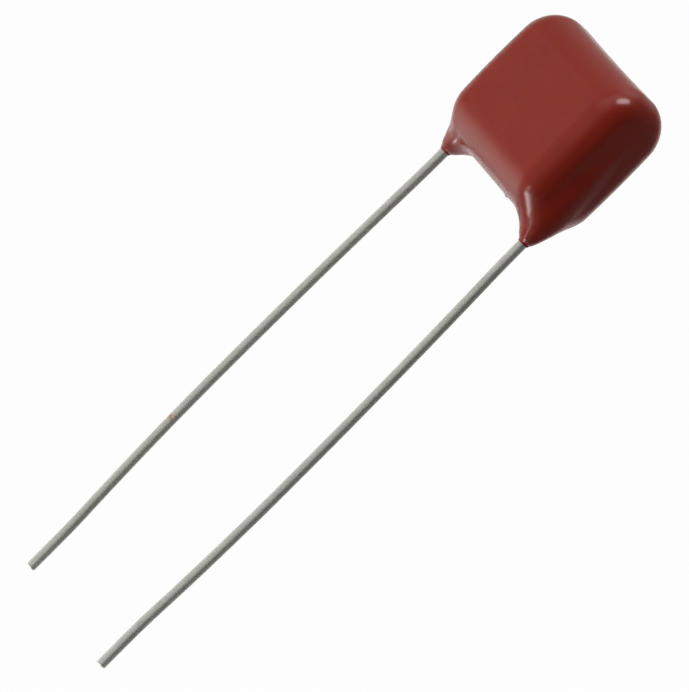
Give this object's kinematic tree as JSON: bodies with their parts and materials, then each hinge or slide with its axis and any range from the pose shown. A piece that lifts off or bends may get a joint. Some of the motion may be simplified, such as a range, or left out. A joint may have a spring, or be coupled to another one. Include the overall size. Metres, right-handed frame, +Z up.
{
  "type": "dipped film capacitor",
  "caption": "Radial film capacitor with a rounded epoxy dip coat and long straight wire leads, for through-hole boards.",
  "frame": {"origin": "midway between the two leads, on the board plane at the tips of the coat's collars", "axes": "+X along the lead pitch, +Z up through the body, leads down along -Z, -Y towards the front broad face"},
  "size_m": [0.0118, 0.0055, 0.0448],
  "materials": {
    "epoxy_coat": "red-brown dipped epoxy, smooth and glossy",
    "film_roll": "wound metallised plastic film",
    "sprayed_zinc": "grainy sprayed metal",
    "tinned_wire": "drawn wire, tinned, slightly dull"
  },
  "bodies": {
    "root": {"coat": "epoxy_coat", "film_winding": "film_roll", "end_spray_left": "sprayed_zinc", "end_spray_right": "sprayed_zinc", "lead_left": "tinned_wire", "lead_right": "tinned_wire"}
  },
  "joints": []
}
